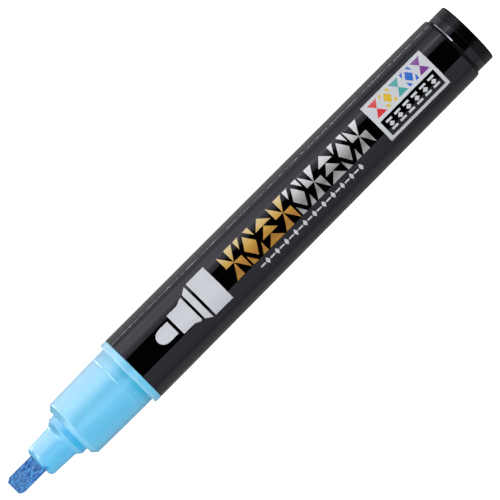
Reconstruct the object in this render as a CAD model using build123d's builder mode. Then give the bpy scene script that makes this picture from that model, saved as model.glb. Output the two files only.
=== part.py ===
"""Fabric marking pen: a valve-action paint marker, uncapped, standing on its tail.

Millimetres. +Z runs along the pen's axis from the tail to the nib, and the origin is the centre
of the tail's flat end face. -Y is the side that the nib's bevel and the printed face look to.
"""

import os

from build123d import *

# ---------------------------------------------------------------- driving dimensions
# Stations along the axis, from the tail (0) to the nib's tip.
BAND_TOP = 2.3  # the tail plug's visible band ends here
NECK_TOP = 4.6  # the barrel steps out from its tail neck here
BARREL_TOP = 96.4  # the barrel's mouth, closed by the collar's flange
FLANGE_TOP = 98.05
LAND_TOP = 100.8  # end of the parallel land that a cap grips
COLLAR_TOP = 114.5
RIM_TOP = 115.9  # flared rim at the nose's base
CONE_BASE = 116.9
NOSE_TOP = 123.6
NIB_TOP = 130.8

# Outside radii.
TAIL_R = 7.22
BARREL_REAR_R = 7.69
BARREL_FRONT_R = 7.95
FLANGE_R = 8.02
LAND_R = 7.08
COLLAR_REAR_R = 7.07
COLLAR_FRONT_R = 6.93
RIM_R = 4.8
CONE_REAR_R = 3.94
CONE_FRONT_R = 3.62

# Fits and walls.
SLIP = 0.02  # radial gap of an assembled press fit
RUN = 0.05  # radial gap of a running fit, and the gap between faces that touch in use
BARREL_BORE_R = 6.95
NECK_BORE_R = 6.3
COLLAR_BORE_R = 5.5
NOSE_SEAT_R = 4.0
HOUSING_BORE_R = 3.42

# Nib.
NIB_W = 4.4  # square section
NIB_ROUND = 0.6
NIB_REAR = 109.2
NIB_GAP = 0.15  # gap a side in the nose's square hole
BEVEL_RISE = 4.1  # how far the bevel runs along the axis
EDGE_LAND = 0.2  # flat left along the writing edge
CORNER_X, CORNER_Z = 0.6, 1.05  # chamfered corners of the writing edge

# Valve.
PRESS_TRAVEL = 2.0
SEAT_BOTTOM = 102.0
SEAT_TOP = 103.6
SEAT_HOLE_R = 1.5
SEAT_CONE = 0.6  # height and width of the seat's 45 degree cone
STEM_R = 1.1
POPPET_R = 2.5
POPPET_BOTTOM = 100.2
HOUSING_BOTTOM = 82.0
RETAINER_H = 1.5
SPRING_MEAN_R = 2.0
SPRING_WIRE_R = 0.22
SPRING_PITCH = 1.65

# Film.
FILM_T = 0.06
FILM_BOTTOM = 5.3
FILM_TOP = BARREL_TOP - 0.15
GLUE = 0.01
SEAM_ANGLE = -31.0  # direction of the lap seam in the XY plane, from +X
SEAM_W_DEG = 8.0

BALL_R = 2.8
PLUG_FLOOR = 1.6  # inside floor, at the middle of its dish


def barrel_radius(z):
    """Outside radius of the bare barrel, which tapers evenly towards the tail."""
    share = (z - NECK_TOP) / (BARREL_TOP - NECK_TOP)
    return BARREL_REAR_R + (BARREL_FRONT_R - BARREL_REAR_R) * share


def write(piece, name):
    """Labels a finished piece and writes it as one STEP file."""
    piece.label = name
    export_step(piece, f"parts/{name}.step")


os.makedirs("parts", exist_ok=True)

# ---------------------------------------------------------------- tail plug
PLUG_CUP_R = 5.3
PLUG_TOP = 7.6
DISH_H = 1.0
RECESS_R, RECESS_H = 4.6, 0.4
EDGE_R = 0.35

with BuildPart() as tail_plug:
    with BuildSketch(Plane.XZ):
        with BuildLine():
            FilletPolyline(
                (0, RECESS_H),
                (RECESS_R, RECESS_H),
                (RECESS_R + RECESS_H, 0),
                (TAIL_R, 0),
                (TAIL_R, BAND_TOP),
                (NECK_BORE_R - SLIP, BAND_TOP),
                (NECK_BORE_R - SLIP, PLUG_TOP),
                (PLUG_CUP_R, PLUG_TOP),
                (PLUG_CUP_R, PLUG_FLOOR + DISH_H),
                (1.0, PLUG_FLOOR),
                (0, PLUG_FLOOR),
                radius=[0, 0, 0.15, EDGE_R, 0.08, 0, 0.3, 0.2, 0.4, 0, 0],
                close=True,
            )
        make_face()
    revolve(axis=Axis.Z)
write(tail_plug.part, "tail_plug")

# ---------------------------------------------------------------- barrel
SHOULDER_R = 0.5  # rounding where the barrel drops to its neck
GROOVE_H, GROOVE_D = 0.6, 0.087  # rounded groove at the neck's root
GROOVE_FLOOR = 0.3  # its deepest line is this far under the shoulder
NECK_BORE_TOP = 6.8
BORE_BOTTOM = 9.0

with BuildPart() as barrel:
    with BuildSketch(Plane.XZ):
        with BuildLine():
            FilletPolyline(
                (NECK_BORE_R, BAND_TOP),
                (TAIL_R, BAND_TOP),
                (TAIL_R, NECK_TOP - GROOVE_H),
                (TAIL_R - GROOVE_D, NECK_TOP - GROOVE_FLOOR),
                (BARREL_REAR_R, NECK_TOP),
                (BARREL_FRONT_R, BARREL_TOP),
                (BARREL_BORE_R, BARREL_TOP),
                (BARREL_BORE_R, BORE_BOTTOM),
                (NECK_BORE_R, NECK_BORE_TOP),
                radius=[0, 0.08, 0.1, 0.1, SHOULDER_R, 0.12, 0.2, 0.5, 0.5],
                close=True,
            )
        make_face()
    revolve(axis=Axis.Z)
write(barrel.part, "barrel")

# ---------------------------------------------------------------- label film
rear_r = barrel_radius(FILM_BOTTOM) + GLUE
front_r = barrel_radius(FILM_TOP) + GLUE

with BuildPart() as label_film:
    with BuildSketch(Plane.XZ):
        with BuildLine():
            Polyline(
                (rear_r, FILM_BOTTOM),
                (rear_r + FILM_T, FILM_BOTTOM),
                (front_r + FILM_T, FILM_TOP),
                (front_r, FILM_TOP),
                close=True,
            )
        make_face()
    revolve(axis=Axis.Z)
    # The film laps over itself along one line, which doubles its thickness there.
    seam_plane = Plane.XZ.rotated((0, 0, SEAM_ANGLE - SEAM_W_DEG / 2))
    with BuildSketch(seam_plane):
        with BuildLine():
            Polyline(
                (rear_r + FILM_T / 2, FILM_BOTTOM),
                (rear_r + 2 * FILM_T, FILM_BOTTOM),
                (front_r + 2 * FILM_T, FILM_TOP),
                (front_r + FILM_T / 2, FILM_TOP),
                close=True,
            )
        make_face()
    revolve(axis=Axis.Z, revolution_arc=SEAM_W_DEG)
write(label_film.part, "label_film")

# ---------------------------------------------------------------- collar
SPIGOT_BOTTOM = 88.0
SPIGOT_R = 6.8
BEAD_R = BARREL_BORE_R - SLIP
BEAD_H = 0.9
CHAMFER_R, CHAMFER_Z = 0.95, 1.15  # the collar's chamfered front
RING_H, RING_D = 0.35, 0.035  # fine ring groove in front of the land

with BuildPart() as collar:
    with BuildSketch(Plane.XZ):
        with BuildLine():
            FilletPolyline(
                (COLLAR_BORE_R, SPIGOT_BOTTOM),
                (SPIGOT_R, SPIGOT_BOTTOM),
                (SPIGOT_R, BARREL_TOP),
                (FLANGE_R, BARREL_TOP),
                (FLANGE_R, FLANGE_TOP),
                (LAND_R, FLANGE_TOP),
                (LAND_R, LAND_TOP),
                (LAND_R - RING_D, LAND_TOP + RING_H / 2),
                (COLLAR_REAR_R, LAND_TOP + RING_H),
                (COLLAR_FRONT_R, COLLAR_TOP - CHAMFER_Z),
                (COLLAR_FRONT_R - CHAMFER_R, COLLAR_TOP),
                (NOSE_SEAT_R, COLLAR_TOP),
                (NOSE_SEAT_R, SEAT_TOP),
                (COLLAR_BORE_R, SEAT_TOP),
                radius=[0.2, 0.4, 0, 0.12, 0.15, 0.1, 0.03, 0.05, 0.03, 0.5, 0.35, 0.1, 0.2, 0],
                close=True,
            )
        make_face()
    revolve(axis=Axis.Z)
    # Two rounded beads on the spigot seal it in the barrel.
    for bead_z in (SPIGOT_BOTTOM + 2.5, SPIGOT_BOTTOM + 5.5):
        with BuildSketch(Plane.XZ):
            with BuildLine():
                ThreePointArc(
                    (SPIGOT_R - 0.05, bead_z - BEAD_H / 2),
                    (BEAD_R, bead_z),
                    (SPIGOT_R - 0.05, bead_z + BEAD_H / 2),
                )
                Line((SPIGOT_R - 0.05, bead_z + BEAD_H / 2), (SPIGOT_R - 0.05, bead_z - BEAD_H / 2))
            make_face()
        revolve(axis=Axis.Z)
write(collar.part, "collar")

# ---------------------------------------------------------------- nose
NOSE_BOTTOM = 109.8
NOSE_CHAMBER_R = 3.2
HOLE_BOTTOM = 117.6
MOUTH_R = 1.2  # rounding of the nose's front edge
VENT_X, VENT_R = -1.4, 0.75  # scalloped notch in the mouth's rim, one on each face
VENT_FLOOR = 2.6  # the notch stops this far from the axis

with BuildPart() as nose:
    with BuildSketch(Plane.XZ):
        with BuildLine():
            FilletPolyline(
                (0, NOSE_BOTTOM),
                (NOSE_SEAT_R - SLIP, NOSE_BOTTOM),
                (NOSE_SEAT_R - SLIP, COLLAR_TOP),
                (RIM_R, COLLAR_TOP),
                (RIM_R, RIM_TOP),
                (CONE_REAR_R, CONE_BASE),
                (CONE_FRONT_R, NOSE_TOP),
                (0, NOSE_TOP),
                radius=[0, 0.3, 0, 0.08, 0.25, 0.9, MOUTH_R, 0],
                close=True,
            )
        make_face()
    revolve(axis=Axis.Z)
    with BuildSketch(Plane.XY.offset(NOSE_BOTTOM)):
        Circle(NOSE_CHAMBER_R)
    extrude(amount=HOLE_BOTTOM - NOSE_BOTTOM, mode=Mode.SUBTRACT)
    with BuildSketch(Plane.XY.offset(HOLE_BOTTOM)):
        RectangleRounded(NIB_W + 2 * NIB_GAP, NIB_W + 2 * NIB_GAP, NIB_ROUND + NIB_GAP)
    extrude(amount=NOSE_TOP - HOLE_BOTTOM, mode=Mode.SUBTRACT)
    for turn in (0, 180):
        with BuildSketch(Plane.XZ.rotated((0, 0, turn)).offset(VENT_FLOOR)):
            with Locations((VENT_X, NOSE_TOP)):
                Circle(VENT_R)
        extrude(amount=CONE_FRONT_R, mode=Mode.SUBTRACT)
write(nose.part, "nose")

# ---------------------------------------------------------------- nib
with BuildPart() as nib:
    with BuildSketch(Plane.XY.offset(NIB_REAR)):
        RectangleRounded(NIB_W, NIB_W, NIB_ROUND)
    extrude(amount=NIB_TOP - NIB_REAR)
    chamfer(nib.faces().sort_by(Axis.Z)[0].edges(), length=0.4)
    # The bevel runs from the -Y face up to the writing edge beside the +Y face.
    with BuildSketch(Plane.YZ):
        with BuildLine():
            Polyline(
                (-NIB_W, NIB_TOP - BEVEL_RISE - NIB_W / 2),
                (-NIB_W / 2, NIB_TOP - BEVEL_RISE),
                (NIB_W / 2 - EDGE_LAND, NIB_TOP),
                (NIB_W / 2 - EDGE_LAND, NIB_TOP + 1),
                (-NIB_W, NIB_TOP + 1),
                close=True,
            )
        make_face()
    extrude(amount=NIB_W, both=True, mode=Mode.SUBTRACT)
    # Both corners of the writing edge are cut off.
    with BuildSketch(Plane.XZ):
        for side in (1, -1):
            with BuildLine():
                Polyline(
                    (side * (NIB_W / 2 - CORNER_X), NIB_TOP),
                    (side * NIB_W / 2, NIB_TOP - CORNER_Z),
                    (side * NIB_W, NIB_TOP - CORNER_Z),
                    (side * NIB_W, NIB_TOP + 1),
                    (side * (NIB_W / 2 - CORNER_X), NIB_TOP + 1),
                    close=True,
                )
            make_face()
    extrude(amount=NIB_W, both=True, mode=Mode.SUBTRACT)
write(nib.part, "nib")

# ---------------------------------------------------------------- valve seat
with BuildPart() as valve_seat:
    with BuildSketch(Plane.XZ):
        with BuildLine():
            Polyline(
                (SEAT_HOLE_R + SEAT_CONE, SEAT_BOTTOM),
                (COLLAR_BORE_R - SLIP, SEAT_BOTTOM),
                (COLLAR_BORE_R - SLIP, SEAT_TOP),
                (SEAT_HOLE_R, SEAT_TOP),
                (SEAT_HOLE_R, SEAT_BOTTOM + SEAT_CONE),
                close=True,
            )
        make_face()
    revolve(axis=Axis.Z)
write(valve_seat.part, "valve_seat")

# ---------------------------------------------------------------- valve housing
WINDOW_W, WINDOW_H, WINDOW_Z = 2.6, 3.0, 85.9
WINDOWS = 4

with BuildPart() as valve_housing:
    with BuildSketch(Plane.XZ):
        with BuildLine():
            FilletPolyline(
                (HOUSING_BORE_R, HOUSING_BOTTOM),
                (COLLAR_BORE_R - SLIP, HOUSING_BOTTOM),
                (COLLAR_BORE_R - SLIP, SEAT_BOTTOM),
                (HOUSING_BORE_R, SEAT_BOTTOM),
                radius=[0, 0.4, 0.1, 0.2],
                close=True,
            )
        make_face()
    revolve(axis=Axis.Z)
    for turn in range(WINDOWS):
        side_plane = Plane.YZ.rotated((0, 0, turn * 360 / WINDOWS))
        with BuildSketch(side_plane):
            with Locations((0, WINDOW_Z)):
                RectangleRounded(WINDOW_W, WINDOW_H, 0.4)
        extrude(amount=COLLAR_BORE_R + 1, mode=Mode.SUBTRACT)
write(valve_housing.part, "valve_housing")

# ---------------------------------------------------------------- spring retainer
RETAINER_TOP = HOUSING_BOTTOM + RETAINER_H
FLOW_HOLES, FLOW_HOLE_R, FLOW_RING_R = 6, 0.5, 2.45

with BuildPart() as spring_retainer:
    with BuildSketch(Plane.XY.offset(HOUSING_BOTTOM)):
        Circle(HOUSING_BORE_R - SLIP)
        Circle(STEM_R + RUN, mode=Mode.SUBTRACT)
        with PolarLocations(FLOW_RING_R, FLOW_HOLES):
            Circle(FLOW_HOLE_R, mode=Mode.SUBTRACT)
    extrude(amount=RETAINER_H)
    chamfer(spring_retainer.edges().filter_by(GeomType.CIRCLE).sort_by(SortBy.RADIUS)[-2:], length=0.2)
write(spring_retainer.part, "spring_retainer")

# ---------------------------------------------------------------- valve rod
STEM_TOP = NIB_REAR - RUN
STEM_BOTTOM = HOUSING_BOTTOM + 0.6
CROWN_R, CROWN_H, SLOT_W = 1.4, 1.4, 0.5
CONE_SUM = SEAT_HOLE_R + SEAT_CONE + SEAT_BOTTOM - RUN * 2**0.5  # r + z on the poppet's 45 degree cone

with BuildPart() as valve_rod:
    with BuildSketch(Plane.XZ):
        with BuildLine():
            FilletPolyline(
                (0, STEM_BOTTOM),
                (STEM_R, STEM_BOTTOM),
                (STEM_R, POPPET_BOTTOM),
                (POPPET_R, POPPET_BOTTOM),
                (POPPET_R, CONE_SUM - POPPET_R),
                (STEM_R, CONE_SUM - STEM_R),
                (STEM_R, STEM_TOP - CROWN_H),
                (CROWN_R, STEM_TOP - CROWN_H + 0.3),
                (CROWN_R, STEM_TOP),
                (0, STEM_TOP),
                radius=[0, 0.3, 0.15, 0.15, 0.1, 0.3, 0, 0.1, 0.1, 0],
                close=True,
            )
        make_face()
    revolve(axis=Axis.Z)
    # Crossed slots let paint past the crown to the nib's rear end.
    with BuildSketch(Plane.XY.offset(STEM_TOP)):
        Rectangle(SLOT_W, 4 * CROWN_R)
        Rectangle(4 * CROWN_R, SLOT_W)
    extrude(amount=-CROWN_H / 2, mode=Mode.SUBTRACT)
write(valve_rod.part, "valve_rod")

# ---------------------------------------------------------------- valve spring
SPRING_BOTTOM = RETAINER_TOP
SPRING_TOP = POPPET_BOTTOM - RUN

with BuildPart() as valve_spring:
    with BuildLine(Plane.XY.offset(SPRING_BOTTOM)):
        coil = Helix(pitch=SPRING_PITCH, height=SPRING_TOP - SPRING_BOTTOM, radius=SPRING_MEAN_R)
    with BuildSketch(Plane(origin=coil @ 0, z_dir=coil % 0)):
        Circle(SPRING_WIRE_R)
    sweep(path=coil)
    # The ends are ground flat.
    split(bisect_by=Plane.XY.offset(SPRING_BOTTOM), keep=Keep.TOP)
    split(bisect_by=Plane.XY.offset(SPRING_TOP), keep=Keep.BOTTOM)
write(valve_spring.part, "valve_spring")

# ---------------------------------------------------------------- mixing ball
with BuildPart() as mixing_ball:
    with Locations((0, 0, PLUG_FLOOR + 2 * RUN + BALL_R)):
        Sphere(BALL_R)
write(mixing_ball.part, "mixing_ball")
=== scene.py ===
"""Fabric marking pen, uncapped and standing on its tail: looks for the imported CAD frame.

Metres. +Z runs from the tail to the nib, and -Y is the printed side, which the camera sees.
Lengths are in the CAD's own millimetres until MM turns them into metres.
"""

import math

import bmesh
import bpy
from mathutils import Matrix, Vector, noise


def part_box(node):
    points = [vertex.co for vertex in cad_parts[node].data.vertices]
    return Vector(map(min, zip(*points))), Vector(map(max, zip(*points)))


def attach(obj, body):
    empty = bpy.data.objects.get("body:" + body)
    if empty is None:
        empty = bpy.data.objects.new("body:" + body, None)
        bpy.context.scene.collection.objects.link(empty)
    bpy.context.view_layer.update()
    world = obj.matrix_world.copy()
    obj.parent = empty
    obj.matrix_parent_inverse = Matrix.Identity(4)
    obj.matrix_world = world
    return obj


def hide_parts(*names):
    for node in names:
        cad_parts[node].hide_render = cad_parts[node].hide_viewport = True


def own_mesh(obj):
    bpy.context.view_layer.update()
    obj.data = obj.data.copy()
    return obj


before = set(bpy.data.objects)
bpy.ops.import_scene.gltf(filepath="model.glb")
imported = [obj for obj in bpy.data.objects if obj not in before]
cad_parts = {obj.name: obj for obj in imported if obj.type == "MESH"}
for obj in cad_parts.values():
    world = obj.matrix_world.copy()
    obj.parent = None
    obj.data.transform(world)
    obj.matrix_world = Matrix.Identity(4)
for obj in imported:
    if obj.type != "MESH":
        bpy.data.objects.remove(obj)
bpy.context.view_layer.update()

MM = 0.001

# ------------------------------------------------------------------ sizes, from the frame where it gives them
film_low, film_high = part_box("label_film")
nib_low, nib_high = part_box("nib")
_, nose_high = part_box("nose")

FILM_BOTTOM = film_low[2] / MM
FILM_TOP = film_high[2] / MM
FILM_FRONT_R = 8.01  # outside radii of the film, which tapers to the tail
FILM_REAR_R = 7.76
FILM_T = 0.06
FILM_WAVE = 0.008  # how far the film lies under its widest, at most twice this
NIB_W = (nib_high[0] - nib_low[0]) / MM
NIB_REAR = nib_low[2] / MM
NIB_TOP = nib_high[2] / MM
NOSE_TOP = nose_high[2] / MM
NIB_ROUND = 0.6  # rounding of the nib's long edges
NIB_SHIFT = 0.11  # the stick lies against one side of its hole
BEVEL_RISE = 4.1
CORNER_X, CORNER_Z = 0.6, 1.05  # cut corners of the nib's writing edge
LAND_BOTTOM, LAND_TOP = 98.05, 100.8  # the land that a cap grips
COLLAR_TOP = 114.5
NOTCH_MARK_AT = (-1.65, -2.8, NOSE_TOP - 0.3)  # a bright cyan mark at the notch of the nose's mouth, with painted shade at its dark middle
GLOSS_TINT = (0.84, 0.82, 1.0, 1.0)  # the black parts' gloss is faintly violet

# ------------------------------------------------------------------ camera
CAMERA_AT = Vector((0.00018, -1.350, 0.1064))
CAMERA_TO = Vector((0.00018, 0.0, 0.0627))
CAMERA_LENS = 479.5
CAMERA_ROLL = math.radians(135.16)  # turns the nib to the lower left


def add_camera():
    """A camera far off that looks a little down on the pen's middle, and is rolled."""
    data = bpy.data.cameras.new("camera")
    data.lens = CAMERA_LENS
    data.sensor_width = 36.0
    data.clip_start = 0.05
    data.clip_end = 20.0
    camera = bpy.data.objects.new("camera", data)
    bpy.context.collection.objects.link(camera)
    forward = (CAMERA_TO - CAMERA_AT).normalized()
    level_right = forward.cross(Vector((0, 0, 1))).normalized()
    level_up = level_right.cross(forward)
    right = math.cos(CAMERA_ROLL) * level_right - math.sin(CAMERA_ROLL) * level_up
    up = math.cos(CAMERA_ROLL) * level_up + math.sin(CAMERA_ROLL) * level_right
    turn = Matrix((right, up, -forward)).transposed().to_4x4()
    camera.matrix_world = Matrix.Translation(CAMERA_AT) @ turn
    bpy.context.scene.camera = camera
    return camera


# ------------------------------------------------------------------ shader building
def fill_ramp(tree, source, stops, low, high):
    """A colour ramp read by source. stops give (value of source between low and high, grey or colour)."""
    span = tree.nodes.new("ShaderNodeMapRange")
    span.inputs["From Min"].default_value = low
    span.inputs["From Max"].default_value = high
    tree.links.new(source, span.inputs["Value"])
    ramp = tree.nodes.new("ShaderNodeValToRGB")
    elements = ramp.color_ramp.elements
    while len(elements) < len(stops):
        elements.new(0.5)
    for element, (at, value) in zip(elements, stops):
        element.position = (at - low) / (high - low)
        colour = value if isinstance(value, tuple) else (value, value, value)
        element.color = (*colour, 1.0)
    tree.links.new(span.outputs["Result"], ramp.inputs["Fac"])
    return ramp.outputs["Color"]


class Look:
    """One procedural material, built node by node on a Principled shader."""

    def __init__(self, name, **settings):
        self.material = bpy.data.materials.new(name)
        self.material.use_nodes = True
        self.tree = self.material.node_tree
        self.shader = self.tree.nodes["Principled BSDF"]
        for label, value in settings.items():
            self.shader.inputs[label.replace("_", " ")].default_value = value
        self.place = self.node("ShaderNodeTexCoord").outputs["Object"]

    def node(self, kind, **attributes):
        made = self.tree.nodes.new(kind)
        for attribute, value in attributes.items():
            setattr(made, attribute, value)
        return made

    def link(self, source, target):
        self.tree.links.new(source, target)

    def noise(self, size_mm, detail=3.0, roughness=0.55, shift=0.0):
        """Noise whose lumps are size_mm long along X, Y and Z."""
        mapping = self.node("ShaderNodeMapping")
        mapping.inputs["Scale"].default_value = [1 / (s * MM) for s in size_mm]
        mapping.inputs["Location"].default_value = (shift, shift * 0.7, shift * 1.3)
        texture = self.node("ShaderNodeTexNoise")
        texture.inputs["Scale"].default_value = 1.0
        texture.inputs["Detail"].default_value = detail
        texture.inputs["Roughness"].default_value = roughness
        self.link(self.place, mapping.inputs["Vector"])
        self.link(mapping.outputs["Vector"], texture.inputs["Vector"])
        return texture.outputs["Fac"]

    def axis(self, letter):
        """The surface's place along X, Y or Z."""
        split = self.node("ShaderNodeSeparateXYZ")
        self.link(self.place, split.inputs["Vector"])
        return split.outputs[letter]

    def distance(self, point_mm):
        """How far the surface is from a point."""
        made = self.node("ShaderNodeVectorMath", operation="DISTANCE")
        made.inputs[1].default_value = [c * MM for c in point_mm]
        self.link(self.place, made.inputs[0])
        return made.outputs["Value"]

    def ramp(self, source, stops, low=0.0, high=1.0):
        """A colour for each value of source, with stops given between low and high."""
        return fill_ramp(self.tree, source, stops, low, high)

    def mix(self, kind, factor, first, second):
        """Mixes two colours; factor is a number or a socket."""
        made = self.node("ShaderNodeMix", data_type="RGBA", blend_type=kind)
        factor_in, first_in, second_in = made.inputs[0], made.inputs[6], made.inputs[7]
        for socket, value in ((factor_in, factor), (first_in, first), (second_in, second)):
            if isinstance(value, bpy.types.NodeSocket):
                self.link(value, socket)
            elif isinstance(value, tuple):
                socket.default_value = (*value, 1.0)
            else:
                socket.default_value = value
        return made.outputs[2]

    def span(self, source, low, high):
        """Stretches a 0 to 1 source to low to high."""
        made = self.node("ShaderNodeMapRange")
        made.inputs["To Min"].default_value = low
        made.inputs["To Max"].default_value = high
        self.link(source, made.inputs["Value"])
        return made.outputs["Result"]

    def bump(self, source, depth_mm):
        """Adds relief; calls stack on one another."""
        made = self.node("ShaderNodeBump")
        made.inputs["Distance"].default_value = depth_mm * MM
        made.inputs["Strength"].default_value = 1.0
        self.link(source, made.inputs["Height"])
        old = self.shader.inputs["Normal"].links
        if old:
            self.link(old[0].from_socket, made.inputs["Normal"])
        self.link(made.outputs["Normal"], self.shader.inputs["Normal"])

    def colour(self, socket):
        self.link(socket, self.shader.inputs["Base Color"])

    def rough(self, source, low, high):
        self.link(self.span(source, low, high), self.shader.inputs["Roughness"])


# ------------------------------------------------------------------ materials
def front_plastic():
    """Light blue polypropylene of the collar and nose: satin, milky, with a broad soft sheen and bands of
    painted light and shade along its axis.
    """
    look = Look(
        "light_blue_plastic",
        IOR=1.6,
        Specular_IOR_Level=1.0,
        Coat_Roughness=0.36,
        Coat_IOR=1.6,
        Subsurface_Weight=0.2,
        Subsurface_Scale=0.6 * MM,
    )
    look.shader.inputs["Subsurface Radius"].default_value = (0.35, 0.9, 1.3)
    flow = look.noise((2.5, 2.5, 9.0), detail=2.0)
    tone = look.ramp(flow, [(0.3, (0.106, 0.550, 0.87)), (0.7, (0.120, 0.585, 0.91))])
    # tints of the steps along the axis, from the flange up, mostly painted light and shade:
    # flange and edge are painted highlights on the flange and its front edge; shade is painted shade on the
    # land beside the flange
    flange, edge, shade = (1.4, 1.08, 1.03), (2.4, 1.15, 1.04), (0.05, 0.74, 0.74)
    # the land is a little darker and the ring line lighter
    land, line = (0.84, 0.94, 0.94), (1.3, 1.06, 1.01)
    # chamfer is a painted highlight on the collar's chamfer; the rim is darker and deeper in colour; cone is
    # painted shade on the nose's cone
    chamfer, rim, cone = (1.25, 1.05, 1.03), (0.12, 0.79, 0.86), (0.95, 0.96, 0.98)
    plain = (1.0, 1.0, 1.0)
    zone = look.ramp(
        look.axis("Z"),
        [
            ((LAND_BOTTOM - 0.5) * MM, flange),
            ((LAND_BOTTOM - 0.35) * MM, edge),
            (LAND_BOTTOM * MM, edge),
            ((LAND_BOTTOM + 0.05) * MM, shade),
            ((LAND_BOTTOM + 0.6) * MM, shade),
            ((LAND_BOTTOM + 1.6) * MM, land),
            ((LAND_TOP - 0.2) * MM, land),
            (LAND_TOP * MM, line),
            ((LAND_TOP + 0.25) * MM, line),
            ((LAND_TOP + 0.45) * MM, plain),
            ((COLLAR_TOP - 1.0) * MM, plain),
            ((COLLAR_TOP - 0.85) * MM, chamfer),
            (COLLAR_TOP * MM, chamfer),
            ((COLLAR_TOP + 0.15) * MM, rim),
            ((COLLAR_TOP + 1.1) * MM, rim),
            ((COLLAR_TOP + 1.5) * MM, plain),
            ((COLLAR_TOP + 2.2) * MM, cone),
        ],
        low=(LAND_BOTTOM - 1.0) * MM,
        high=NOSE_TOP * MM,
    )
    plastic = look.mix("MULTIPLY", 1.0, tone, zone)
    coat = look.ramp(
        look.axis("Z"),
        [(COLLAR_TOP * MM, 1.0), ((COLLAR_TOP + 0.1) * MM, 0.75), ((COLLAR_TOP + 2.2) * MM, 0.3)],
        low=(COLLAR_TOP - 1.0) * MM,
        high=NOSE_TOP * MM,
    )
    look.link(coat, look.shader.inputs["Coat Weight"])
    # a bright cyan mark at the notch of the nose's mouth; its dark middle is painted shade in the notch
    away = look.distance(NOTCH_MARK_AT)
    notch_tones = look.ramp(away, [(0.24 * MM, (0.0, 0.10, 0.36)), (0.4 * MM, (0.0, 0.33, 0.74))], 0.0, 2 * MM)
    blotch = look.ramp(away, [(0.65 * MM, 1.0), (0.85 * MM, 0.0)], 0.0, 2 * MM)
    look.colour(look.mix("MIX", blotch, plastic, notch_tones))
    look.rough(look.noise((0.5, 0.5, 1.5), shift=7.0), 0.33, 0.43)
    look.bump(look.noise((0.16, 0.16, 0.16), detail=2.0, shift=3.0), 0.004)
    look.bump(look.noise((3.0, 3.0, 5.0), detail=1.0, shift=5.0), 0.012)
    return look.material


def film_black():
    """Black printed film: glossy, with faint ripples along the barrel and a little handling."""
    look = Look("black_film", IOR=1.545, Specular_Tint=GLOSS_TINT)
    blotch = look.noise((5.0, 5.0, 8.0), detail=4.0)
    look.colour(look.ramp(blotch, [(0.3, 0.0004), (0.7, 0.0007)]))
    look.rough(look.noise((1.2, 1.2, 5.0), detail=4.0, shift=2.0), 0.03, 0.065)
    look.bump(look.noise((1.6, 1.6, 22.0), detail=1.5, shift=4.0), 0.006)
    look.bump(look.noise((0.12, 0.12, 0.3), detail=2.0, shift=9.0), 0.0006)
    return look.material


def barrel_plastic():
    """Black moulded plastic of the bare barrel at the tail."""
    look = Look("black_barrel_plastic", IOR=1.52, Specular_Tint=GLOSS_TINT)
    look.colour(look.ramp(look.noise((2.0, 2.0, 2.0)), [(0.3, 0.0004), (0.7, 0.0008)]))
    look.rough(look.noise((0.8, 0.8, 1.6), shift=1.0), 0.05, 0.10)
    look.bump(look.noise((0.2, 0.2, 0.2), detail=2.0, shift=3.0), 0.002)
    return look.material


def plug_plastic():
    """Black plug: the same plastic from a duller mould."""
    look = Look("black_plug_plastic", IOR=1.33, Specular_Tint=GLOSS_TINT)
    look.colour(look.ramp(look.noise((1.5, 1.5, 1.5)), [(0.3, 0.0003), (0.7, 0.0007)]))
    look.rough(look.noise((0.6, 0.6, 0.6), shift=1.0), 0.20, 0.28)
    look.bump(look.noise((0.15, 0.15, 0.15), detail=2.0, shift=3.0), 0.003)
    return look.material


def nib_fibre():
    """Compressed fibre soaked with blue paint: dark streaks and pale flecks along the nib, the flecks painted
    glints, damp in spots.
    """
    look = Look("blue_fibre", IOR=1.42, Subsurface_Weight=0.08, Subsurface_Scale=0.25 * MM)
    streak = look.noise((0.28, 0.28, 1.2), detail=4.0, roughness=0.7)
    body = look.ramp(
        streak,
        [
            (0.38, (0.006, 0.028, 0.19)),
            (0.44, (0.022, 0.110, 0.40)),
            (0.51, (0.044, 0.230, 0.62)),
            (0.58, (0.070, 0.355, 0.78)),
            (0.65, (0.22, 0.56, 0.88)),
        ],
    )
    # pale flecks: painted glints on the fibres
    pale = look.ramp(look.noise((0.24, 0.24, 0.8), detail=2.0, shift=11.0), [(0.66, 0.0), (0.72, 1.0)])
    body = look.mix("MIX", pale, body, (0.46, 0.56, 0.80))
    pores = look.ramp(look.noise((0.3, 0.3, 0.6), detail=3.0, shift=6.0), [(0.36, 0.45), (0.46, 1.0)])
    depth = look.ramp(  # darker towards the nose
        look.axis("Z"),
        [(NOSE_TOP * MM, 0.80), ((NOSE_TOP + 2.5) * MM, 1.0)],
        low=(NOSE_TOP - 1.0) * MM,
        high=NIB_TOP * MM,
    )
    look.colour(look.mix("MULTIPLY", 1.0, look.mix("MULTIPLY", 1.0, body, pores), depth))
    look.rough(look.noise((0.25, 0.25, 0.8), shift=2.0), 0.24, 0.6)
    look.bump(streak, 0.06)
    look.bump(look.noise((0.07, 0.07, 0.35), detail=3.0, shift=8.0), 0.02)
    return look.material


def cut_edge():
    """Cut edge of the clear film: pale where it stands open, dark where it is stuck down, the pale parts
    partly a painted glint.
    """
    look = Look("film_cut_edge", IOR=1.5, Roughness=0.4)
    # paleness along the edge, partly a painted glint
    open_edge_and_glint = look.noise((3.0, 3.0, 0.9), detail=4.0, roughness=0.7)
    look.colour(look.ramp(open_edge_and_glint, [(0.36, 0.05), (0.50, 0.26), (0.64, 0.60)]))
    look.bump(look.noise((0.05, 0.05, 0.2), shift=4.0), 0.004)
    return look.material


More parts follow.
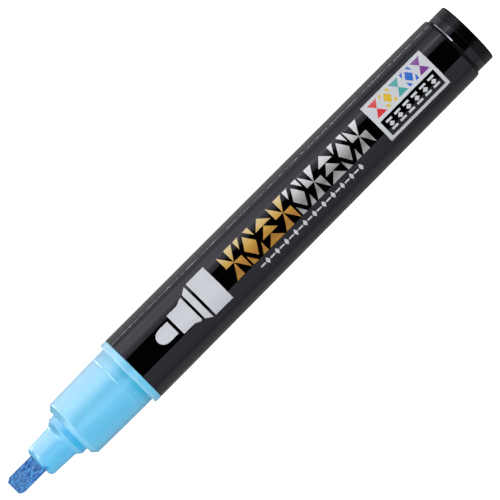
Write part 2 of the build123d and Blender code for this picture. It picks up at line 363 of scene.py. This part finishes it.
def inner_plastic():
    """Natural white polypropylene of the valve parts."""
    look = Look("natural_plastic", IOR=1.49, Subsurface_Weight=0.3, Subsurface_Scale=1.0 * MM)
    look.colour(
        look.ramp(look.noise((1.5, 1.5, 4.0)), [(0.3, (0.70, 0.70, 0.64)), (0.7, (0.78, 0.78, 0.73))])
    )
    look.rough(look.noise((0.4, 0.4, 0.4), shift=1.0), 0.35, 0.5)
    look.bump(look.noise((0.2, 0.2, 0.2), shift=3.0), 0.003)
    return look.material


def seal_rubber():
    """Soft black seat with a faint moulded grain."""
    look = Look("seat_rubber", IOR=1.52)
    look.colour(look.ramp(look.noise((0.6, 0.6, 0.6)), [(0.3, 0.012), (0.7, 0.022)]))
    look.rough(look.noise((0.3, 0.3, 0.3), shift=1.0), 0.55, 0.75)
    look.bump(look.noise((0.12, 0.12, 0.12), shift=3.0), 0.006)
    return look.material


def steel(name, low, high, grain_mm):
    """Bright steel with grain of the given size."""
    look = Look(name, Metallic=1.0)
    look.colour(look.ramp(look.noise(grain_mm), [(0.3, (0.50, 0.50, 0.51)), (0.7, (0.60, 0.60, 0.61))]))
    look.rough(look.noise(grain_mm, detail=4.0, shift=1.0), low, high)
    look.bump(look.noise(grain_mm, detail=4.0, shift=3.0), 0.001)
    return look.material


def ink(name, stops):
    """Printed ink under the film's gloss. stops give its colour across the barrel, by X in mm; where it
    changes across, it is painted light.
    """
    grain = 0.06  # how much the flakes vary
    look = Look(name, IOR=1.5, Roughness=0.5, Coat_Weight=1.0, Coat_Roughness=0.04, Coat_IOR=1.5)
    tone = look.ramp(
        look.axis("X"), [(x * MM, colour) for x, colour in stops], stops[0][0] * MM, stops[-1][0] * MM
    )
    flake = look.ramp(
        look.noise((0.09, 0.09, 0.09), detail=2.0), [(0.3, 1.0 - grain), (0.7, 1.0 + grain)]
    )
    look.colour(look.mix("MULTIPLY", 1.0, tone, flake))
    look.rough(look.noise((0.2, 0.2, 0.2), shift=2.0), 0.42, 0.58)
    look.bump(look.noise((0.05, 0.05, 0.05), shift=5.0), 0.0008)
    return look.material


# ink colours: (X in mm, colour); how they change across the barrel is a painted reflection, lighter towards
# the key light at +X
SILVER_STOPS = [(-4.9, (0.47, 0.48, 0.53)), (0.0, (0.62, 0.64, 0.69)), (4.9, (0.66, 0.68, 0.73))]
# silver darkest just off the front and lightest towards +X: painted reflection
SHADED_SILVER_STOPS = [
    (-2.0, (0.32, 0.32, 0.335)),
    (-0.8, (0.185, 0.185, 0.195)),
    (0.8, (0.38, 0.38, 0.395)),
    (2.0, (0.62, 0.62, 0.64)),
    (3.6, (0.82, 0.82, 0.85)),
]
GOLD_STOPS = [
    (-2.0, (0.36, 0.175, 0.018)),
    (-1.2, (0.34, 0.140, 0.016)),
    (0.4, (0.48, 0.240, 0.022)),
    (1.6, (0.62, 0.380, 0.085)),
    (3.4, (0.76, 0.580, 0.260)),
]
SAMPLE_TONES = {
    "red": (0.66, 0.022, 0.030),
    "yellow": (0.74, 0.50, 0.022),
    "teal": (0.045, 0.36, 0.36),
    "blue": (0.007, 0.13, 0.60),
    "purple": (0.19, 0.030, 0.28),
}


# ------------------------------------------------------------------ mesh building
def add_mesh(name, mesh, material, body):
    """Adds one piece: its mesh, its material and the body that it rides on."""
    thing = bpy.data.objects.new(name, mesh)
    bpy.context.collection.objects.link(thing)
    mesh.materials.clear()
    mesh.materials.append(material)
    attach(thing, body)
    return thing


def film_radius(z):
    """Outside radius of the film at a height, in mm."""
    share = (z - FILM_BOTTOM) / (FILM_TOP - FILM_BOTTOM)
    return FILM_REAR_R + (FILM_FRONT_R - FILM_REAR_R) * share


def wrap(across, z, lift):
    """A point on the film: across is measured round it from -Y towards +X. All in mm."""
    radius = film_radius(z) + lift
    angle = across / film_radius(z)
    return Vector((radius * math.sin(angle), -radius * math.cos(angle), z)) * MM


def film_sleeve():
    """The film: a thin sleeve, its cut edges softened, with slight unevenness where it was glued."""
    turns, steps = 360, 120
    edge = 0.03  # rounding of the cut ends
    heights = [FILM_BOTTOM + (FILM_TOP - FILM_BOTTOM) * k / steps for k in range(steps + 1)]
    rings = [(FILM_BOTTOM + edge, -FILM_T), (FILM_BOTTOM, -FILM_T + edge), (FILM_BOTTOM, -edge)]
    rings += [(FILM_BOTTOM + edge, 0.0)]
    rings += [(z, 0.0) for z in heights[1:-1]]
    rings += [(FILM_TOP - edge, 0.0), (FILM_TOP, -edge), (FILM_TOP, -FILM_T + edge)]
    rings += [(FILM_TOP - edge, -FILM_T)]
    made = bmesh.new()
    loops = []
    for z, lift in rings:
        loop = []
        for turn in range(turns):
            angle = 2 * math.pi * turn / turns
            wave = noise.noise(Vector((3 * math.cos(angle), 3 * math.sin(angle), z * 0.05)))
            uneven = FILM_WAVE * (wave - 1.0)
            loop.append(made.verts.new(wrap(angle * film_radius(z), z, lift + uneven)))
        loops.append(loop)
    loops.append(loops[0])
    for lower, upper in zip(loops, loops[1:]):
        for turn in range(turns):
            after = (turn + 1) % turns
            made.faces.new((lower[turn], lower[after], upper[after], upper[turn]))
    bmesh.ops.recalc_face_normals(made, faces=made.faces)
    return finish_mesh(made, "film_sleeve")


def finish_mesh(made, name, sharp_deg=40.0):
    """Turns a bmesh into smooth-shaded mesh data with its sharp edges kept."""
    data = bpy.data.meshes.new(name)
    made.to_mesh(data)
    made.free()
    data.shade_smooth()
    data.set_sharp_from_angle(angle=math.radians(sharp_deg))
    return data


LAP_HALF = 0.56  # half the width of the lapped strip
LAP_ACROSS = film_radius(50.0) * math.radians(59.0)  # round the film from -Y towards +X
LAP_DRIFT = 0.26  # how far the lap moves round from the front to the tail
LAP_PRESS = 0.9  # how much of its height the lap keeps once it is pressed down
LAP_STEPS = 460


def lap_line(z):
    """Where the lap's middle runs at a height: nearly straight, as a machine lays it."""
    drift = LAP_DRIFT * (FILM_TOP - z) / (FILM_TOP - FILM_BOTTOM)
    return LAP_ACROSS + drift


def lap_sway(z):
    """How far the cut strays from its line."""
    slow = noise.noise(Vector((z * 0.35, 1.0, 0.0)))
    quick = noise.noise(Vector((z * 2.1, 5.0, 0.0)))
    return 0.05 * slow + 0.02 * quick


def strip(profile, name):
    """A closed strip along the lap. profile gives (distance from the lap's middle, lift)."""
    short = 0.02  # how far it stops from each end of the film
    made = bmesh.new()
    rows = []
    for step in range(LAP_STEPS + 1):
        z = FILM_BOTTOM + short + (FILM_TOP - FILM_BOTTOM - 2 * short) * step / LAP_STEPS
        rise = 0.012 * noise.noise(Vector((z * 0.9, 9.0, 0.0)))
        row = []
        for across, lift in profile:
            loose = 1.0 if across < 0 else 0.3  # the cut side strays most
            place = lap_line(z) + across + lap_sway(z) * loose
            height = lift * LAP_PRESS + (rise if lift > 0 else 0.0)
            row.append(made.verts.new(wrap(place, z, height)))
        rows.append(row)
    count = len(profile)
    for lower, upper in zip(rows, rows[1:]):
        for k in range(count):
            after = (k + 1) % count
            made.faces.new((lower[k], lower[after], upper[after], upper[k]))
    made.faces.new(rows[0])
    made.faces.new(list(reversed(rows[-1])))
    bmesh.ops.recalc_face_normals(made, faces=made.faces)
    return finish_mesh(made, name, 60.0)


def film_lap():
    """The lapped edge of the film: a strip of double thickness along the barrel, its edge uneven."""
    half = LAP_HALF
    profile = [(-half, -0.02), (-half + 0.02, 0.045), (-half + 0.07, FILM_T)]
    profile += [(half - 0.09, FILM_T), (half - 0.03, 0.05), (half, -0.02)]
    return strip(profile, "film_lap")


def film_edge():
    """The film's cut edge, standing a little proud along the lap."""
    start = -LAP_HALF - 0.035
    profile = [(start, -0.02), (start + 0.01, 0.035), (start + 0.05, 0.07), (start + 0.09, 0.02)]
    return strip(profile, "film_edge")


# ------------------------------------------------------------------ prints
INK_LIFT = -0.004  # the ink is sunk into the film's surface
INK_THICKNESS = 0.008
INK_SLICE = 0.3  # width of the slices that let a flat shape follow the barrel
PRINT_REACH = 8.0  # how far round from the middle prints may lie


class Print:
    """Flat shapes in (across, z) mm that are cut fine, given a hair of thickness and wrapped."""

    def __init__(self):
        self.made = bmesh.new()

    def shape(self, points):
        """One closed outline."""
        self.made.faces.new([self.made.verts.new((across, z, 0.0)) for across, z in points])

    def rect(self, low, high):
        (a0, z0), (a1, z1) = low, high
        self.shape([(a0, z0), (a1, z0), (a1, z1), (a0, z1)])

    def diamond(self, middle, half_a, half_z):
        am, zm = middle
        self.shape([(am - half_a, zm), (am, zm - half_z), (am + half_a, zm), (am, zm + half_z)])

    def frame(self, low, high, inner_low, inner_high):
        """A plate with a rectangular window."""
        (a0, z0), (a1, z1) = low, high
        (b0, y0), (b1, y1) = inner_low, inner_high
        self.rect((a0, z0), (b0, z1))
        self.rect((b1, z0), (a1, z1))
        self.rect((b0, z0), (b1, y0))
        self.rect((b0, y1), (b1, z1))

    def add(self, name, material, slot, lift=INK_LIFT):
        """Prints the shapes on the film."""
        return add_mesh(name, self.mesh(name, lift), material, "pen_body")

    def mesh(self, name, lift):
        """Cuts the shapes into slices, thickens them and wraps them round the film."""
        made = self.made
        cuts = int(2 * PRINT_REACH / INK_SLICE)
        for k in range(cuts + 1):
            everything = list(made.verts) + list(made.edges) + list(made.faces)
            across = -PRINT_REACH + k * INK_SLICE
            bmesh.ops.bisect_plane(
                made, geom=everything, dist=1e-6, plane_co=(across, 0, 0), plane_no=(1, 0, 0)
            )
        bmesh.ops.remove_doubles(made, verts=made.verts, dist=1e-4)
        raised = bmesh.ops.extrude_face_region(made, geom=list(made.faces))
        for element in raised["geom"]:
            if isinstance(element, bmesh.types.BMVert):
                element.co.z = INK_THICKNESS
        for vert in made.verts:
            vert.co = wrap(vert.co.x, vert.co.y, lift + vert.co.z)
        bmesh.ops.recalc_face_normals(made, faces=made.faces)
        return finish_mesh(made, name)


def pictogram():
    """A plain side view of an uncapped pen's front, in four blocks."""
    art = Print()
    mid = 0.2
    tip_r, tip_base, tip_end = 1.68, 85.0, 89.3
    shoulder = tip_base + 2.4
    bullet = [(mid - tip_r, tip_base), (mid + tip_r, tip_base)]
    for k in range(13):
        angle = math.pi * k / 12
        bullet.append((mid + tip_r * math.cos(angle), shoulder + (tip_end - shoulder) * math.sin(angle)))
    art.shape(bullet)
    art.shape(
        [
            (mid - 3.2, 79.7),
            (mid + 3.2, 79.7),
            (mid + 3.15, 80.2),
            (mid + 2.6, 81.3),
            (mid + 2.58, 84.3),
            (mid - 2.58, 84.3),
            (mid - 2.6, 81.3),
            (mid - 3.15, 80.2),
        ]
    )
    art.shape([(mid - 4.5, 77.65), (mid + 4.5, 77.65), (mid + 3.4, 79.1), (mid - 3.4, 79.1)])
    art.rect((mid - 4.6, 72.1), (mid + 4.6, 77.0))
    return art


def pinwheel(art, low, high):
    """Quilt block: four blades that meet in the middle."""
    (a0, z0), (a1, z1) = low, high
    am, zm = (a0 + a1) / 2, (z0 + z1) / 2
    art.shape([(a0, z0), (am, z0), (am, zm)])
    art.shape([(a1, z0), (a1, zm), (am, zm)])
    art.shape([(a1, z1), (am, z1), (am, zm)])
    art.shape([(a0, z1), (a0, zm), (am, zm)])


def diamond_square(art, low, high):
    """Quilt block: a diamond inside four corner patches."""
    (a0, z0), (a1, z1) = low, high
    am, zm = (a0 + a1) / 2, (z0 + z1) / 2
    ra, rz = (a1 - a0) / 2, (z1 - z0) / 2
    inner, cut = 0.78, 0.68  # shares of the half width
    art.diamond((am, zm), inner * ra, inner * rz)
    for sa in (-1, 1):
        for sz in (-1, 1):
            corner = (am + sa * ra, zm + sz * rz)
            art.shape(
                [corner, (corner[0] - sa * cut * ra, corner[1]), (corner[0], corner[1] - sz * cut * rz)]
            )


def geese(art, low, high):
    """Quilt block: three triangles flying the same way."""
    (a0, z0), (a1, z1) = low, high
    step = (a1 - a0) / 3
    for k in range(3):
        base = a0 + k * step
        art.shape([(base, z0), (base + step - 0.1, (z0 + z1) / 2), (base, z1)])


def hourglass(art, low, high):
    """Quilt block: two triangles that meet in the middle."""
    (a0, z0), (a1, z1) = low, high
    am, zm = (a0 + a1) / 2, (z0 + z1) / 2
    art.shape([(a0, z0), (a0, z1), (am, zm)])
    art.shape([(a1, z1), (a1, z0), (am, zm)])


ROW_LOW, ROW_HIGH = -2.5, 4.0  # across the barrel


def quilt_row(blocks, z_top, width, gap):
    """Quilt blocks side by side, from z_top towards the tail."""
    art = Print()
    for k, block in enumerate(blocks):
        high = z_top - k * (width + gap)
        block(art, (ROW_LOW, high - width), (ROW_HIGH, high))
    return art


# ------------------------------------------------------------------ nib
def cut_off(made, point, normal):
    """Cuts away what lies past a plane, and closes the cut."""
    everything = list(made.verts) + list(made.edges) + list(made.faces)
    cut = bmesh.ops.bisect_plane(
        made, geom=everything, plane_co=point, plane_no=normal, clear_outer=True
    )
    rim = [e for e in cut["geom_cut"] if isinstance(e, bmesh.types.BMEdge)]
    bmesh.ops.contextual_create(made, geom=rim)


def nib_stock():
    """The square stick with its round edges, its bevel and its cut corners."""
    half = NIB_W / 2
    made = bmesh.new()
    outline = []
    for quarter, (side_x, side_y) in enumerate(((1, 1), (-1, 1), (-1, -1), (1, -1))):
        centre = (half - NIB_ROUND) * Vector((side_x, side_y, 0))
        for k in range(7):
            angle = math.radians(90 * quarter + 15 * k)
            outline.append(centre + NIB_ROUND * Vector((math.cos(angle), math.sin(angle), 0)))
    base = made.faces.new([made.verts.new((p.x, p.y, NIB_REAR)) for p in outline])
    raised = bmesh.ops.extrude_face_region(made, geom=[base])
    for element in raised["geom"]:
        if isinstance(element, bmesh.types.BMVert):
            element.co.z = NIB_TOP
    cut_off(made, Vector((0, -half, NIB_TOP - BEVEL_RISE)), Vector((0, -1, 1)))
    for side in (1, -1):
        corner = Vector((side * (half - CORNER_X), 0, NIB_TOP))
        cut_off(made, corner, Vector((side * CORNER_Z, 0, CORNER_X)))
    bmesh.ops.recalc_face_normals(made, faces=made.faces)
    return made


def remeshed(made, voxel):
    """Even mesh data in place of a rough bmesh."""
    rough = bpy.data.meshes.new("rough")
    made.to_mesh(rough)
    made.free()
    holder = bpy.data.objects.new("rough", rough)
    bpy.context.collection.objects.link(holder)
    remesh = holder.modifiers.new("remesh", "REMESH")
    remesh.mode = "VOXEL"
    remesh.voxel_size = voxel
    remesh.use_smooth_shade = True
    graph = bpy.context.evaluated_depsgraph_get()
    data = bpy.data.meshes.new_from_object(holder.evaluated_get(graph))
    bpy.data.objects.remove(holder)
    return data


def nib_mesh():
    """The nib: its stick remeshed finely, then grooved between its fibres."""
    data = remeshed(nib_stock(), voxel=0.085)
    made = bmesh.new()
    made.from_mesh(data)
    made.normal_update()
    for vert in made.verts:
        x, y, z = vert.co
        # fibres run along Z, so the relief changes slowly that way
        fibre = noise.noise(Vector((x * 4.5, y * 4.5, z * 0.55)))
        fine = noise.noise(Vector((x * 11.0, y * 11.0, z * 1.6)) + Vector((7, 3, 1)))
        deep = 0.05 * fibre + 0.022 * fine - 0.02
        vert.co += vert.normal * min(deep, 0.0)
    bmesh.ops.translate(made, vec=(NIB_SHIFT, 0, 0), verts=made.verts)
    bmesh.ops.scale(made, vec=(MM, MM, MM), verts=made.verts)
    bpy.data.meshes.remove(data)
    return finish_mesh(made, "nib_stick", 80.0)


# ------------------------------------------------------------------ stage
def cove(material):
    """Floor that curves up into a wall all round, with an open top."""
    radius, bend, height, turns = 2.6, 0.7, 3.2, 96
    profile = [(0.3, 0.0), (radius - bend, 0.0)]
    for k in range(1, 13):
        angle = math.radians(90 * k / 12)
        profile.append((radius - bend + bend * math.sin(angle), bend - bend * math.cos(angle)))
    profile.append((radius, height))
    made = bmesh.new()
    rings = []
    for r, z in profile:
        ring = []
        for t in range(turns):
            angle = 2 * math.pi * t / turns
            ring.append(made.verts.new((r * math.cos(angle), r * math.sin(angle), z)))
        rings.append(ring)
    made.faces.new(rings[0])
    for lower, upper in zip(rings, rings[1:]):
        for t in range(turns):
            after = (t + 1) % turns
            made.faces.new((lower[t], lower[after], upper[after], upper[t]))
    bmesh.ops.recalc_face_normals(made, faces=made.faces)
    bmesh.ops.reverse_faces(made, faces=made.faces)
    thing = bpy.data.objects.new("cove", finish_mesh(made, "cove"))
    bpy.context.collection.objects.link(thing)
    thing.data.materials.append(material)
    # only the lights and the world light the pen
    thing.visible_glossy = False
    thing.visible_diffuse = False
    return thing


def cove_white():
    """White paper that glows, so that the floor has no horizon."""
    look = Look("white_paper", Roughness=0.9, Emission_Color=(1, 1, 1, 1), Emission_Strength=0.98)
    look.colour(look.ramp(look.noise((60.0, 60.0, 60.0)), [(0.3, 0.84), (0.7, 0.86)]))
    return look.material


def polar(degrees, distance):
    """A direction in plan, from -Y towards +X."""
    angle = math.radians(degrees)
    return Vector((distance * math.sin(angle), -distance * math.cos(angle), 0.0))


def bearing_ramp(tree, place, stops):
    """Brightness by bearing: stops are (degrees from -Y towards +X, brightness)."""
    split = tree.nodes.new("ShaderNodeSeparateXYZ")
    flip = tree.nodes.new("ShaderNodeMath")
    flip.operation = "MULTIPLY"
    flip.inputs[1].default_value = -1.0
    bearing = tree.nodes.new("ShaderNodeMath")
    bearing.operation = "ARCTAN2"
    tree.links.new(place, split.inputs["Vector"])
    tree.links.new(split.outputs["Y"], flip.inputs[0])
    tree.links.new(split.outputs["X"], bearing.inputs[0])
    tree.links.new(flip.outputs["Value"], bearing.inputs[1])
    turns = [(math.radians(degrees), value) for degrees, value in stops]
    return fill_ramp(tree, bearing.outputs["Value"], turns, turns[0][0], turns[-1][0])


BOX_DISTANCE = 0.85
LAMP_DISTANCE, LAMP_AIM = 1.2, 0.09  # from the pen, and the height that the lamps face


def softbox(name, start_deg, end_deg, bands, low=-0.35, high=1.0):
    """A tall light between two bearings, that is only mirrored.

    bands gives (height, brightness by bearing) from the lowest up.
    """
    first, last = polar(start_deg, BOX_DISTANCE), polar(end_deg, BOX_DISTANCE)
    middle = (first + last) / 2
    along = (last - first).normalized()
    upright = Vector((0, 0, 1))
    away = along.cross(upright)  # a light shines along its own -Z
    if away.dot(middle) < 0:
        upright = -upright
        away = along.cross(upright)
    data = bpy.data.lights.new(name, "AREA")
    data.shape = "RECTANGLE"
    data.size = (last - first).length
    data.size_y = high - low
    data.energy = math.pi * data.size * data.size_y  # a brightness of 1 over the whole face
    data.use_nodes = True
    tree = data.node_tree
    place = tree.nodes.new("ShaderNodeNewGeometry").outputs["Position"]
    split = tree.nodes.new("ShaderNodeSeparateXYZ")
    tree.links.new(place, split.inputs["Vector"])
    glow = bearing_ramp(tree, place, bands[0][1])
    for (below, _), (above, stops) in zip(bands, bands[1:]):
        rise = tree.nodes.new("ShaderNodeMapRange")
        rise.inputs["From Min"].default_value = below
        rise.inputs["From Max"].default_value = above
        blend = tree.nodes.new("ShaderNodeMix")
        blend.data_type = "RGBA"
        tree.links.new(split.outputs["Z"], rise.inputs["Value"])
        tree.links.new(rise.outputs["Result"], blend.inputs[0])
        tree.links.new(glow, blend.inputs[6])
        tree.links.new(bearing_ramp(tree, place, stops), blend.inputs[7])
        glow = blend.outputs[2]
    tree.links.new(glow, tree.nodes["Emission"].inputs["Color"])
    light = bpy.data.objects.new(name, data)
    bpy.context.collection.objects.link(light)
    turn = Matrix((along, upright, away)).transposed().to_4x4()
    light.matrix_world = Matrix.Translation(middle + Vector((0, 0, (low + high) / 2))) @ turn
    light.visible_camera = False
    light.visible_diffuse = False
    return light


def lamp(name, bearing, elevation, size, brightness, mirrored):
    """A soft light that faces the pen, in degrees and metres: either only mirrored, or only lighting."""
    data = bpy.data.lights.new(name, "AREA")
    data.shape = "RECTANGLE"
    data.size, data.size_y = size
    data.energy = brightness * math.pi * size[0] * size[1]
    light = bpy.data.objects.new(name, data)
    bpy.context.collection.objects.link(light)
    reach = LAMP_DISTANCE * math.cos(math.radians(elevation))
    rise = LAMP_DISTANCE * math.sin(math.radians(elevation))
    target = Vector((0, 0, LAMP_AIM))
    place = target + polar(bearing, reach) + Vector((0, 0, rise))
    turn = (target - place).to_track_quat("-Z", "Y").to_matrix().to_4x4()
    light.matrix_world = Matrix.Translation(place) @ turn
    light.visible_camera = False
    light.visible_diffuse = not mirrored
    light.visible_glossy = mirrored
    return light


def add_world(level, elsewhere, level_share):
    """The room's brightness: level by bearing near the horizon, and elsewhere by sine of elevation.

    level_share says how much of level shows, by sine of elevation.
    """
    world = bpy.data.worlds.new("room")
    bpy.context.scene.world = world
    world.use_nodes = True
    tree = world.node_tree
    place = tree.nodes.new("ShaderNodeTexCoord").outputs["Generated"]
    split = tree.nodes.new("ShaderNodeSeparateXYZ")
    tree.links.new(place, split.inputs["Vector"])
    sine = split.outputs["Z"]
    blend = tree.nodes.new("ShaderNodeMix")
    blend.data_type = "RGBA"
    tree.links.new(fill_ramp(tree, sine, level_share, -1.0, 1.0), blend.inputs[0])
    tree.links.new(fill_ramp(tree, sine, elsewhere, -1.0, 1.0), blend.inputs[6])
    tree.links.new(bearing_ramp(tree, place, level), blend.inputs[7])
    tree.links.new(blend.outputs[2], tree.nodes["Background"].inputs["Color"])
    return world


# ------------------------------------------------------------------ the object
def repaint(node, material):
    """Gives a CAD node its finished material."""
    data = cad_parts[node].data
    for k in range(len(data.materials)):
        data.materials[k] = material


blue = front_plastic()
film = film_black()
natural = inner_plastic()
CAD_LOOKS = {
    "collar": blue,
    "nose": blue,
    "barrel": barrel_plastic(),
    "tail_plug": plug_plastic(),
    "valve_housing": natural,
    "valve_rod": natural,
    "spring_retainer": natural,
    "valve_seat": seal_rubber(),
    "mixing_ball": steel("ball_polish", 0.06, 0.14, (0.6, 0.6, 0.6)),
}
for node, material in CAD_LOOKS.items():
    repaint(node, material)

sleeve = add_mesh("film_sleeve", film_sleeve(), film, "pen_body")
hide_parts("label_film")
add_mesh("film_lap", film_lap(), film, "pen_body")
add_mesh("film_edge", film_edge(), cut_edge(), "pen_body")

spring_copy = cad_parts["valve_spring"].data.copy()
wire = steel("spring_wire", 0.2, 0.3, (0.1, 0.1, 0.1))
spring = add_mesh("spring_coil", spring_copy, wire, "pen_body")
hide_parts("valve_spring")
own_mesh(spring)

stick = add_mesh("nib_stick", nib_mesh(), nib_fibre(), "nib")
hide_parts("nib")

silver = ink("silver_ink", SILVER_STOPS)
pictogram().add("print_pen_symbol", silver, "print_silver")

gold_row = quilt_row([pinwheel, diamond_square, geese, pinwheel], z_top=69.1, width=4.2, gap=0.5)
gold = ink("gold_ink", GOLD_STOPS)
gold_row.add("print_gold_blocks", gold, "print_gold")

# silver print with painted reflection and shade across the barrel
shaded_silver = ink("shaded_silver_ink", SHADED_SILVER_STOPS)
silver_blocks = [diamond_square, pinwheel, geese, diamond_square, pinwheel]
silver_row = quilt_row(silver_blocks, z_top=50.3, width=3.85, gap=0.45)
silver_row.add("print_silver_blocks", shaded_silver, "print_silver")

STITCH_TOP, STITCH_PITCH, STITCH_LENGTH = 63.75, 2.66, 1.25
STITCH_LINE = -4.05  # across the barrel
stitches = Print()
for k in range(11):
    z = STITCH_TOP - k * STITCH_PITCH
    stitches.rect((STITCH_LINE - 0.2, z - STITCH_LENGTH), (STITCH_LINE + 0.2, z))
    stitches.diamond((STITCH_LINE, z - (STITCH_LENGTH + STITCH_PITCH) / 2), 0.85, 0.5)
stitches.add("print_stitches", silver, "print_silver")

PANEL_LOW, PANEL_HIGH = (-4.94, 10.25), (4.8, 27.05)
WINDOW_LOW, WINDOW_HIGH = (-4.2, 11.03), (-0.28, 26.14)
panel = Print()
panel.frame(PANEL_LOW, PANEL_HIGH, WINDOW_LOW, WINDOW_HIGH)
panel.add("print_panel", silver, "print_silver")

MARK_TOP, MARK_PITCH, MARK_LENGTH = WINDOW_HIGH[1] - 0.85, 2.38, 1.6
window_art = Print()
for k in range(6):
    z = MARK_TOP - k * MARK_PITCH
    for left in (-3.35, -1.4):
        window_art.rect((left, z - MARK_LENGTH), (left + 0.5, z))
    window_art.diamond((-2.12, z - MARK_LENGTH / 2), 0.6, 0.7)
window_art.add("print_window_stitches", silver, "print_silver")

PATCH_LIFT = INK_LIFT + 0.01  # the colours lie on the silver
PATCH_TOP, PATCH_PITCH, PATCH_LENGTH = 25.9, 3.05, 2.6
PATCH_LOW, PATCH_HIGH = 0.5, 3.95  # across the barrel
for k, (hue, tone) in enumerate(SAMPLE_TONES.items()):
    patch = Print()
    z = PATCH_TOP - k * PATCH_PITCH
    block = hourglass if k % 2 == 0 else diamond_square
    block(patch, (PATCH_LOW, z - PATCH_LENGTH), (PATCH_HIGH, z))
    paint = ink(f"{hue}_ink", [(0.0, tone), (5.0, tone)])
    patch.add(f"print_{hue}_patch", paint, "print_colours", lift=PATCH_LIFT)

# ------------------------------------------------------------------ light and camera
cove(cove_white())
# (bearing in degrees from -Y towards +X, brightness)
key_start = [(34.5, 0.52), (38.5, 0.60), (45, 0.85), (52, 1.15)]
key_rear = key_start + [(54, 1.7), (56, 2.8), (58, 1.9), (65, 1.15), (72, 0.95), (79, 0.92), (84, 0.68)]
key_rear += [(88, 0.42), (91, 0.40)]
key_front = key_start + [(55.5, 1.4), (57.5, 1.68), (65, 1.62), (79, 1.68), (86, 1.58), (91, 1.2)]
key_high = [(34.5, 3.0), (57.5, 5.0), (79, 6.2), (91, 5.2)]
brow_high = [(10, 0.4), (34.5, 2.6)]
side_high = [(91, 7.0), (120, 7.0), (145, 5.0)]
fill_low = [(-91, 0.38), (-79, 0.57), (-42, 0.70), (-37.0, 0.70)]
fill_high = [(bearing, 0.05 * value) for bearing, value in fill_low]
softbox("key_box", 34.5, 91.0, [(-0.03, key_rear), (0.09, key_front), (0.22, key_high)], high=0.34)
softbox("brow_box", 10.0, 34.5, [(0.0, brow_high)], low=0.2, high=0.34)
softbox("side_box", 91.0, 145.0, [(0.0, side_high)], low=0.19, high=0.35)
softbox("fill_box", -37.0, -91.0, [(0.09, fill_low), (0.15, fill_high)], low=-0.17)
lamp("top_lamp", 23, 69, (0.6, 0.6), 2.0, mirrored=True)
lamp("strip_lamp", 37, 24.5, (0.8, 0.1), 24.0, mirrored=True)
lamp("front_lamp", -15, 5, (0.6, 0.6), 13.1, mirrored=False)
lamp("right_lamp", 130, 5, (0.6, 0.6), 14.0, mirrored=False)
lamp("left_lamp", -120, 5, (0.6, 0.6), 3.0, mirrored=False)
add_world(
    level=[
        (-180, 0.33),
        (-133, 0.31),
        (-118, 0.46),
        (-104, 0.51),
        (-93, 0.39),
        (-90, 0.004),
        (90, 0.004),
        (92, 0.62),
        (104, 0.84),
        (115, 1.0),
        (133, 0.58),
        (180, 0.33),
    ],
    elsewhere=[(-1.0, 0.2), (-0.2, 0.1), (0.25, 0.1), (0.5, 0.5), (1.0, 0.6)],
    level_share=[(-0.26, 0.0), (-0.16, 1.0), (0.06, 1.0), (0.14, 0.0)],
)
add_camera()

view = bpy.context.scene.view_settings
view.view_transform = "Standard"
view.look = "None"
